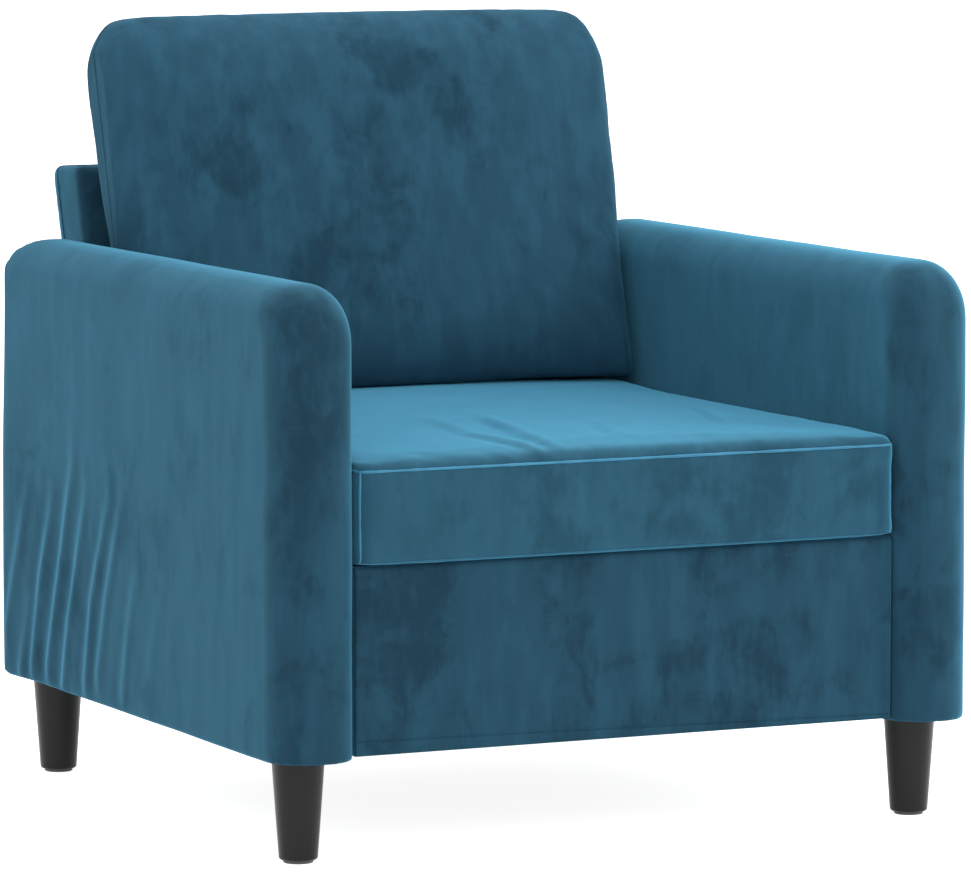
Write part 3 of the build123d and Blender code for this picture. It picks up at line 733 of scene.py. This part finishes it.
def velvet_material(name, nap):
    """Blue-green velvet with brushed clouds in its pile."""
    place, tone, clouds, sheen, sheen_roughness = VELVETS[name]
    material, shader = new_material(name)
    tree = material.node_tree
    pile = tree.nodes.new("ShaderNodeGroup")
    pile.node_tree = nap
    tree.links.new(stretched(tree, (1, 1, 1), place), pile.inputs["Vector"])
    # The panel's tone lightens or darkens its whole colour: painted light and shade
    light = toned(VELVET_LIGHT, tone)
    streaked = mix_colour(tree, pile.outputs["Streaks"], toned(VELVET_BASE, tone), light)
    depth = math_node(tree, "MULTIPLY", pile.outputs["Clouds"], clouds)
    clouded = mix_colour(tree, depth, streaked, toned(VELVET_DARK, tone))
    tree.links.new(clouded, shader.inputs["Base Color"])
    bump_into(tree, shader, pile.outputs["Fuzz"], *VELVET_BUMP)
    roughness = spread(tree, pile.outputs["Clouds"], *VELVET_ROUGHNESS)
    tree.links.new(roughness, shader.inputs["Roughness"])
    shader.inputs["Specular IOR Level"].default_value = VELVET_SPECULAR
    shader.inputs["Sheen Weight"].default_value = sheen
    shader.inputs["Sheen Roughness"].default_value = sheen_roughness
    shader.inputs["Sheen Tint"].default_value = SHEEN_TINT
    return material


def grained_material(name, look, stretch=(1, 1, 1)):
    """A two-colour material with grain on the piece's own coordinates."""
    dark, light, scale, roughness, bump, metallic, specular = look
    material, shader = new_material(name)
    tree = material.node_tree
    grain = noise_of(tree, stretched(tree, stretch), scale, *GRAIN_NOISE)
    shade = ramp(tree, *GRAIN_EDGE, grain)
    tree.links.new(mix_colour(tree, shade, toned(dark), toned(light)), shader.inputs["Base Color"])
    tree.links.new(spread(tree, grain, *roughness), shader.inputs["Roughness"])
    bump_into(tree, shader, grain, bump, GRAIN_DEPTH)
    shader.inputs["Metallic"].default_value = metallic
    shader.inputs["Specular IOR Level"].default_value = specular
    return material


def woven_material(name, weave):
    """Cloth, webbing or zip tape with visible threads."""
    dark, light, threads, roughness = WOVEN[name]
    material, shader = new_material(name)
    tree = material.node_tree
    cloth = tree.nodes.new("ShaderNodeGroup")
    cloth.node_tree = weave
    rate = threads / WAVE_RATE * math.pi
    tree.links.new(stretched(tree, (rate, rate, rate)), cloth.inputs["Vector"])
    shade = math_node(tree, "MULTIPLY", cloth.outputs["Threads"], cloth.outputs["Uneven"])
    tree.links.new(mix_colour(tree, shade, toned(dark), toned(light)), shader.inputs["Base Color"])
    tree.links.new(spread(tree, cloth.outputs["Uneven"], *roughness), shader.inputs["Roughness"])
    bump_into(tree, shader, cloth.outputs["Threads"], *WEAVE_BUMP)
    shader.inputs["Specular IOR Level"].default_value = WEAVE_SPECULAR
    return material


# Padded arms


def arm_folds(y, z):
    """How far the loose cloth on the outside of an arm stands out, with its slanting folds."""
    rise = np.zeros_like(y)
    for ridge, height in ARM_FOLDS:
        feet = [place[0] for place in ridge]
        levels = [place[1] for place in ridge]
        away = y - np.interp(z, levels, feet)
        foot = ease(z, levels[0] - FOLD_FOOT_FADE, levels[0])
        top = 1 - ease(z, levels[-1] - FOLD_TOP_FADE_START, levels[-1] + FOLD_TOP_FADE_END)
        reach = foot * top
        valley = hump(away - FOLD_VALLEY_SHIFT, FOLD_VALLEY_WIDTH)
        rise += height * reach * (hump(away, FOLD_HALF_WIDTH) - FOLD_VALLEY_SHARE * valley)
    return rise


def velvet_arm(hand, side, fold_share, hem_drop, material):
    """One padded arm: round front and top, sewn rear end, loose folds low on the outside."""
    arm = outer_hull(copy_of_node(f"{hand}_arm_velvet", f"{hand}_arm_cover"))
    even_skin(arm, ARM_VOXEL)
    seam_y = ARM_HIGH.y - ARM_SEAM_INSET
    cut_rings(arm, (0, seam_y, 0), (0, 1, 0), ARM_SEAM_RINGS)
    points, normals = points_of(arm)
    outward = side * normals[:, 0]
    y = points[:, 1]
    z = points[:, 2]
    rise = uneven(points, f"{hand}_arm")
    outside = ease(outward, *FACING_FOLDS) * (y < seam_y - ARM_SEAM_CLEAR)
    rise += outside * fold_share * arm_folds(y, z)
    rear = ease(y, ARM_HIGH.y - FLARE_START, ARM_HIGH.y - FLARE_END)
    low_rear = rear * (1 - ease(z, *FLARE_LEVELS))
    rise += ARM_REAR_FLARE * low_rear * ease(outward, *FACING_FLARE)
    rise -= ARM_SEAM_DEPTH * hump(y - seam_y, ARM_SEAM_WIDTH)
    low_hem = 1 - ease(z, ARM_LOW.z, ARM_LOW.z + ARM_HEM_REACH)
    points += normals * rise[:, None]
    points[:, 2] -= hem_drop * low_hem
    set_points(arm, points)
    dress(arm, "frame", material, "velvet", f"{hand}_arm_cover", f"{hand}_arm_foam")


# Seat box front and backrest


def velvet_front_rail(material):
    """The padded front of the seat box with its hem seam, and the flap that goes back over the rail."""
    rail = block(
        "front_rail_velvet",
        (RAIL_LOW.x - RAIL_END_SPARE, RAIL_LOW.y, RAIL_LOW.z),
        (RAIL_HIGH.x + RAIL_END_SPARE, RAIL_FOAM_HIGH.y, RAIL_HIGH.z),
    )

    def top_front(first, second):
        on_top = min(first.z, second.z) > RAIL_HIGH.z - EDGE_NEAR
        return on_top and max(first.y, second.y) < RAIL_LOW.y + EDGE_NEAR

    bevel_where(rail, top_front, RAIL_ROUND, RAIL_ROUND_STEPS)
    even_skin(rail, RAIL_VOXEL)
    slope = (HEM_LEFT - HEM_RIGHT) / (RAIL_HIGH.x - RAIL_LOW.x)
    across = Vector((slope, 0, 1)).normalized()
    hem = Vector((0, RAIL_LOW.y, RAIL_LOW.z + (HEM_LEFT + HEM_RIGHT) / 2))
    cut_rings(rail, hem, across, HEM_RINGS)
    points, normals = points_of(rail)
    front = ease(-normals[:, 1], *FACING)
    rise = uneven(points, "rail")
    away = (points - np.array(hem)) @ np.array(across)
    rise -= HEM_DEPTH * hump(away, HEM_WIDTH)
    points += normals * (front * rise)[:, None]
    points[:, 0] = np.clip(points[:, 0], RAIL_LOW.x - RAIL_END_TUCK, RAIL_HIGH.x + RAIL_END_TUCK)
    set_points(rail, points)
    flap = block(
        "rail_flap",
        (RAIL_LOW.x, RAIL_FOAM_HIGH.y - RAIL_FLAP_LAP, RAIL_FOAM_HIGH.z),
        (RAIL_HIGH.x, RAIL_HIGH.y, RAIL_HIGH.z),
    )
    take(rail)
    flap.select_set(True)
    bpy.ops.object.join()
    dress(rail, "frame", material, "velvet", "front_rail_cover", "front_rail_foam")


def velvet_backrest(material):
    """The leaning padded slab between the arms, with a sewn seam round its rear panel."""
    back = outer_hull(copy_of_node("backrest_velvet", "backrest_cover"))
    even_skin(back, BACK_VOXEL)
    points, normals = points_of(back)
    points += normals * uneven(points, "back")[:, None]
    set_points(back, points)
    rear_top = Vector((0, BACK_HIGH.y, BACK_HIGH.z))
    seam = ring_around(back, rear_top + LEAN_NORMAL * BACK_SEAM_INSET, LEAN_NORMAL)
    dress(back, "frame", material, "velvet", "backrest_cover", "backrest_foam")
    seam_piece("backrest_seam", "frame", material, BACK_SEAM_RADIUS, [(seam, True)])


# Loose cushions


def swell(piece, held, cap):
    """Let a cushion's cloth swell between its sewn seams, by cloth simulation."""
    start, _ = points_of(piece)
    group = piece.vertex_groups.new(name="sewn")
    group.add(np.flatnonzero(held).tolist(), 1.0, "REPLACE")
    cloth = piece.modifiers.new("cloth", "CLOTH")
    settings = cloth.settings
    settings.quality = SIM_QUALITY
    settings.mass = SIM_MASS
    settings.vertex_group_mass = "sewn"
    settings.use_pressure = True
    settings.uniform_pressure_force = SIM_PRESSURE
    settings.shrink_min = SIM_SHRINK
    settings.effector_weights.gravity = 0
    cloth.point_cache.frame_start = 1
    cloth.point_cache.frame_end = SIM_FRAMES
    for number in range(1, SIM_FRAMES + 1):
        bpy.context.scene.frame_set(number)
    apply_all(piece)
    bpy.context.scene.frame_set(1)
    moved, _ = points_of(piece)
    step = moved - start
    length = np.linalg.norm(step, axis=1)
    step *= np.minimum(1, cap / np.maximum(length, LEAST_LENGTH))[:, None]
    set_points(piece, start + step)
    piece.vertex_groups.clear()


def keep_inside(piece, tree, room):
    """Draw points that have left a form back to it, apart from some room to bulge."""
    points, _ = points_of(piece)
    for place, point in enumerate(points):
        spot, normal, _, _ = tree.find_nearest(Vector(point))
        out = (Vector(point) - spot).dot(normal)
        if out > room[place]:
            points[place] = spot + normal * room[place]
    set_points(piece, points)


def puffed(name, node, held_by, cap, share, room_by):
    """A cushion of a cover's form, part of the way to its simulated one, kept in the cover's space."""
    piece = outer_skin(copy_of_node(name, node))
    tree = tree_of(piece)
    even_skin(piece, CUSHION_VOXEL)
    points, normals = points_of(piece)
    held, near = held_by(points, normals)
    inset = START_INSET + (SEAM_INSET - START_INSET) * near
    set_points(piece, points - normals * inset[:, None])
    swell(piece, held, cap)
    swollen, _ = points_of(piece)
    set_points(piece, points + share * (swollen - points))
    keep_inside(piece, tree, room_by(*points_of(piece)))
    subdivide(piece)
    return piece


def zip_trough(points, node):
    """1 where a cushion's surface makes room for its zip."""
    low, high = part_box(node)
    inside = np.ones(len(points))
    for axis in range(3):
        inside *= ease(points[:, axis], low[axis] - 2 * ZIP_MARGIN, low[axis] - ZIP_MARGIN)
        inside *= 1 - ease(points[:, axis], high[axis] + ZIP_MARGIN, high[axis] + 2 * ZIP_MARGIN)
    return inside


def seat_held(points, normals):
    """The seat cushion's sewn points, and how near each point is to a seam."""
    upright = np.abs(normals[:, 2]) < SEAT_UPRIGHT
    away = np.minimum(np.abs(points[:, 2] - SEAT_TOP_SEAM), np.abs(points[:, 2] - SEAT_FOOT_SEAM))
    return upright & (away < SEAM_HOLD), upright * hump(away, SEAT_SEAM_REACH)


def seat_room(points, normals):
    """How far the seat cushion may bulge: a little on top and in front, not at the arms."""
    upward = ease(normals[:, 2], *FACING)
    forward = ease(-normals[:, 1], *FACING)
    return SEAT_TOP_ROOM * upward + SEAT_FRONT_ROOM * forward


def velvet_seat(material, seam_highlight_material):
    """The loose seat cushion: a swollen box with creases on top and sewn edges."""
    nodes = ("seat_cushion_cover", "seat_cushion_foam")
    seat = puffed("seat_cushion_velvet", nodes[0], seat_held, SEAT_CAP, SEAT_SIM_SHARE, seat_room)
    points, normals = points_of(seat)
    points[:, 0] = np.clip(points[:, 0] * SEAT_FILL_OUT, -SEAT_HALF, SEAT_HALF)
    x = points[:, 0]
    y = points[:, 1]
    z = points[:, 2]
    upward = ease(normals[:, 2], *FACING_CREASES)
    rise = upward * uneven(points, "seat")
    for crease, depth, width in SEAT_CREASES:
        across = [place[0] for place in reversed(crease)]
        along = [place[1] for place in reversed(crease)]
        away = x - np.interp(y, along, across)
        front = ease(y, along[0] - CREASE_FRONT_FADE, along[0] + CREASE_FRONT_FADE)
        rear = 1 - ease(y, along[-1] - CREASE_REAR_FADE_START, along[-1] + CREASE_REAR_FADE_END)
        reach = front * rear
        ridge = hump(away - CREASE_RIDGE_SHIFT * width, CREASE_RIDGE_WIDTH * width)
        rise += upward * depth * reach * (CREASE_RIDGE_SHARE * ridge - hump(away, width))
    pucker = np.exp(-np.abs(z - SEAT_TOP_SEAM) / SEAT_PUCKER_REACH)
    rise += uneven(points, "seat_edge") * pucker * (normals[:, 1] < SEAT_PUCKER_FACING)
    rise -= ZIP_ROOM * zip_trough(points, "seat_cushion_zip")
    set_points(seat, points + normals * rise[:, None])
    upper = ring_around(seat, (0, 0, SEAT_TOP_SEAM), (0, 0, 1))
    lower = ring_around(seat, (0, 0, SEAT_FOOT_SEAM), (0, 0, 1))
    tree = tree_of(seat)
    # The top ring and the two upright seams get the seam velvet, painted lighter as a painted highlight
    highlighted_seams = [(upper, True)]
    levels = np.linspace(SEAT_FOOT_SEAM, SEAT_TOP_SEAM, SEAT_PANEL_STEPS)
    for x_seam in (-SEAT_PANEL_HALF, SEAT_PANEL_HALF):
        hits = [tree.ray_cast(Vector((x_seam, -1, level)), Vector((0, 1, 0)))[0] for level in levels]
        line = np.array([tuple(hit) for hit in hits if hit])
        highlighted_seams.append((evened(line, False), False))
    dress(seat, "seat_cushion", material, "velvet", *nodes)
    seam_piece("seat_cushion_top_seam", "seat_cushion", seam_highlight_material, SEAM_RADIUS, highlighted_seams)
    seam_piece("seat_cushion_foot_seam", "seat_cushion", material, FOOT_SEAM_RADIUS, [(lower, True)])


def from_middle(points):
    """Distance of each point from the back cushion's middle plane."""
    return (points - np.array(PILLOW_MIDDLE)) @ np.array(LEAN_NORMAL)


def pillow_held(points, normals):
    """The back cushion's sewn points, and how near each point is to the seam."""
    sideways = np.abs(normals @ np.array(LEAN_NORMAL)) < PILLOW_SIDEWAYS
    away = np.abs(from_middle(points))
    return sideways & (away < SEAM_HOLD), sideways * hump(away, PILLOW_SEAM_REACH)


def pillow_room(points, normals):
    """How far the back cushion may bulge: a little in front, not at its neighbours."""
    return PILLOW_ROOM * ease(normals @ np.array(LEAN_NORMAL), *FACING)


def velvet_pillow(material):
    """The loose back cushion: a swollen case, sewn round the middle of its sides."""
    nodes = ("back_cushion_cover", "back_cushion_filling")
    name = "back_cushion_velvet"
    pillow = puffed(name, nodes[0], pillow_held, PILLOW_CAP, PILLOW_SIM_SHARE, pillow_room)
    points, normals = points_of(pillow)
    pucker = np.exp(-np.abs(from_middle(points)) / PILLOW_PUCKER_REACH)
    rise = uneven(points, "pillow")
    rise += uneven(points, "pillow_edge") * pucker * (points[:, 2] > PILLOW_MIDDLE.z)
    rise -= ZIP_ROOM * zip_trough(points, "back_cushion_zip")
    sideways = ease(np.abs(normals[:, 0]), *FACING_FILL)
    rise += PILLOW_SIDE_FILL * sideways * hump(points[:, 2] - PILLOW_WAIST, PILLOW_WAIST_REACH)
    at_foot = 1 - ease(points[:, 2], PILLOW_LOW.z, PILLOW_LOW.z + PILLOW_FOOT_REACH)
    at_ends = ease(np.abs(points[:, 0]), PILLOW_HIGH.x / 2, PILLOW_HIGH.x)
    points += normals * rise[:, None]
    points[:, 2] -= PILLOW_CORNER_DROP * at_foot * at_ends
    at_top = ease(points[:, 2], PILLOW_HIGH.z - PILLOW_TOP_REACH, PILLOW_HIGH.z)
    at_corner = at_top * ease(np.abs(points[:, 0]), PILLOW_HIGH.x - PILLOW_TOP_REACH, PILLOW_HIGH.x)
    points[:, 0] -= np.sign(points[:, 0]) * PILLOW_CORNER_ROUND * at_corner
    points[:, 2] -= PILLOW_CORNER_ROUND * at_corner
    points[:, 0] = np.clip(points[:, 0], -SEAT_HALF, SEAT_HALF)
    set_points(pillow, points)
    seam = ring_around(pillow, PILLOW_MIDDLE, LEAN_NORMAL)
    dress(pillow, "back_cushion", material, "velvet", *nodes)
    seam_piece("back_cushion_seam", "back_cushion", material, PILLOW_SEAM_RADIUS, [(seam, True)])


# Deck pad, deck cloth and dust cloth


def foam_deck(material):
    """The foam pad on the springs, with soft edges and a little unevenness."""
    pad = block("deck_pad_foam", PAD_LOW, PAD_HIGH)
    bevel_where(pad, lambda first, second: True, PAD_ROUND, PAD_ROUND_STEPS)
    even_skin(pad, PAD_VOXEL)
    points, normals = points_of(pad)
    upward = ease(normals[:, 2], *FACING)
    points -= normals * (upward * PAD_DIP * (1 + uneven(points, "pad")))[:, None]
    set_points(pad, points)
    dress(pad, "frame", material, "foam", "deck_pad")


def taut_cloth(node, low, high, level, sag, material):
    """A sheet stretched flat over a frame, with a slight sag between its stapled edges."""
    bpy.ops.object.select_all(action="DESELECT")
    middle = (low + high) / 2
    place = (middle.x, middle.y, level)
    bpy.ops.mesh.primitive_grid_add(
        x_subdivisions=CLOTH_CELLS_X, y_subdivisions=CLOTH_CELLS_Y, size=1, location=place
    )
    cloth = bpy.context.object
    cloth.name = f"{node}_sheet"
    cloth.data.name = f"{node}_sheet"
    width = high.x - low.x
    length = high.y - low.y
    cloth.scale = (width, length, 1)
    bpy.ops.object.transform_apply(location=True, rotation=True, scale=True)
    points, _ = points_of(cloth)
    edge_x = (width / 2 - np.abs(points[:, 0] - middle.x)) / width
    edge_y = (length / 2 - np.abs(points[:, 1] - middle.y)) / length
    loose = ease(np.minimum(edge_x, edge_y), 0.0, CLOTH_LOOSE_FROM_EDGE)
    points[:, 2] -= sag * loose * (1 + uneven(points, node))
    set_points(cloth, points)
    dress(cloth, "frame", material, node, node)


# Finish of every construction piece

# Material by the end of a piece's name; every other piece is timber
FINISHES = {
    "_leg": "leg_plastic",
    "_glides": "glide_plastic",
    "_board": "fibreboard",
    "_springs": "spring_steel",
    "_clips": "spring_steel",
    "_bolts": "zinc_steel",
    "_washers": "zinc_steel",
    "_inserts": "zinc_steel",
    "_studs": "zinc_steel",
    "_nuts": "zinc_steel",
    "_webbing": "webbing",
    "_zip": "zip_tape",
}


def finish_nodes(finish, timber):
    """Give each construction piece that stays its own material, timber with its grain lengthwise."""
    for name, node in frame["nodes"].items():
        low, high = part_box(name)
        size = high - low
        material = timber[max(range(3), key=lambda axis: size[axis])]
        for ending, kind in FINISHES.items():
            if name.endswith(ending):
                material = finish[kind]
        node.data.materials.clear()
        node.data.materials.append(material)


# Studio

WHITE = (1, 1, 1, 1)
WORLD_STRENGTH = 0.90
FLOOR_COLOUR = (0.9, 0.9, 0.9, 1)
FLOOR_GLOW = 0.85
FLOOR_SIZE = 60

# Each lamp's place, size and power
LAMPS = (
    ("top_softbox", (-0.3, 0.25, 2.6), 2.4, 24.0),
    ("right_softbox", (2.6, -1.4, 1.5), 1.8, 24.0),
    ("front_softbox", (-0.6, -3.2, 1.6), 2.0, 6.0),
)
LAMP_AIM = Vector((0, 0, 0.35))


def seen_directly(tree):
    """1 for what the camera sees itself, in a mirror or through glass."""
    path = tree.nodes.new("ShaderNodeLightPath")
    seen = math_node(tree, "MAXIMUM", path.outputs["Is Camera Ray"], path.outputs["Is Glossy Ray"])
    return math_node(tree, "MAXIMUM", seen, path.outputs["Is Transmission Ray"])


def white_surround(scene):
    """A white world that lights the chair softly from all sides."""
    world = bpy.data.worlds.new("surround")
    scene.world = world
    world.use_nodes = True
    tree = world.node_tree
    background = tree.nodes["Background"]
    background.inputs["Color"].default_value = WHITE
    strength = spread(tree, seen_directly(tree), WORLD_STRENGTH, 1.0)
    tree.links.new(strength, background.inputs["Strength"])


def white_floor():
    """A plain floor that looks white and keeps the chair's shadow."""
    bpy.ops.object.select_all(action="DESELECT")
    bpy.ops.mesh.primitive_plane_add(size=FLOOR_SIZE, location=(0, 0, 0))
    floor = bpy.context.object
    floor.name = "floor"
    material, shader = new_material("floor_white")
    tree = material.node_tree
    shader.inputs["Base Color"].default_value = FLOOR_COLOUR
    shader.inputs["Roughness"].default_value = 1.0
    shader.inputs["Specular IOR Level"].default_value = 0.0
    shader.inputs["Emission Color"].default_value = WHITE
    glow = math_node(tree, "MULTIPLY", seen_directly(tree), FLOOR_GLOW)
    tree.links.new(glow, shader.inputs["Emission Strength"])
    floor.data.materials.append(material)


def soft_lamps():
    """Large square lamps aimed at the chair."""
    for name, place, size, power in LAMPS:
        lamp = bpy.data.lights.new(name, "AREA")
        lamp.shape = "SQUARE"
        lamp.size = size
        lamp.energy = power
        holder = bpy.data.objects.new(name, lamp)
        bpy.context.collection.objects.link(holder)
        holder.location = place
        holder.rotation_euler = (LAMP_AIM - Vector(place)).to_track_quat("-Z", "Y").to_euler()


def photograph_camera(scene):
    """The camera where the photograph was taken from."""
    lens = bpy.data.cameras.new("camera")
    lens.sensor_width = CAMERA_SENSOR
    lens.sensor_fit = "HORIZONTAL"
    lens.lens = CAMERA_LENS
    lens.clip_end = CAMERA_FAR
    camera = bpy.data.objects.new("camera", lens)
    bpy.context.collection.objects.link(camera)
    back = Vector(
        (
            math.sin(CAMERA_AZIMUTH) * math.cos(CAMERA_ELEVATION),
            -math.cos(CAMERA_AZIMUTH) * math.cos(CAMERA_ELEVATION),
            math.sin(CAMERA_ELEVATION),
        )
    )
    camera.location = CAMERA_TARGET + back * CAMERA_DISTANCE
    camera.rotation_euler = (-back).to_track_quat("-Z", "Y").to_euler()
    scene.camera = camera


# Build every piece

nap = nap_group()
weave = weave_group()
velvet = {name: velvet_material(name, nap) for name in VELVETS}
finish = {name: grained_material(name, look) for name, look in GRAINED.items()}
finish.update({name: woven_material(name, weave) for name in WOVEN})
timber = [grained_material(f"timber_{axis}", TIMBER, TIMBER_STRETCH[axis]) for axis in "xyz"]

finish_nodes(finish, timber)
velvet_arm("left", -1, LEFT_FOLD_SHARE, LEFT_HEM_DROP, velvet["left_velvet"])
velvet_arm("right", 1, RIGHT_FOLD_SHARE, RIGHT_HEM_DROP, velvet["right_velvet"])
velvet_front_rail(velvet["rail_velvet"])
velvet_backrest(velvet["back_velvet"])
velvet_seat(velvet["seat_velvet"], velvet["seam_highlight_velvet"])
velvet_pillow(velvet["pillow_velvet"])
foam_deck(finish["foam"])
deck_level = DECK_HIGH.z - DECK_TUCK
taut_cloth("deck_cloth", DECK_LOW, DECK_HIGH, deck_level, DECK_SAG, finish["deck_cloth"])
dust_level = DUST_LOW.z + DUST_LIFT
taut_cloth("dust_cloth", DUST_LOW, DUST_HIGH, dust_level, DUST_SAG, finish["dust_cloth"])

stage = bpy.context.scene
stage.view_settings.view_transform = "Standard"
white_surround(stage)
white_floor()
soft_lamps()
photograph_camera(stage)
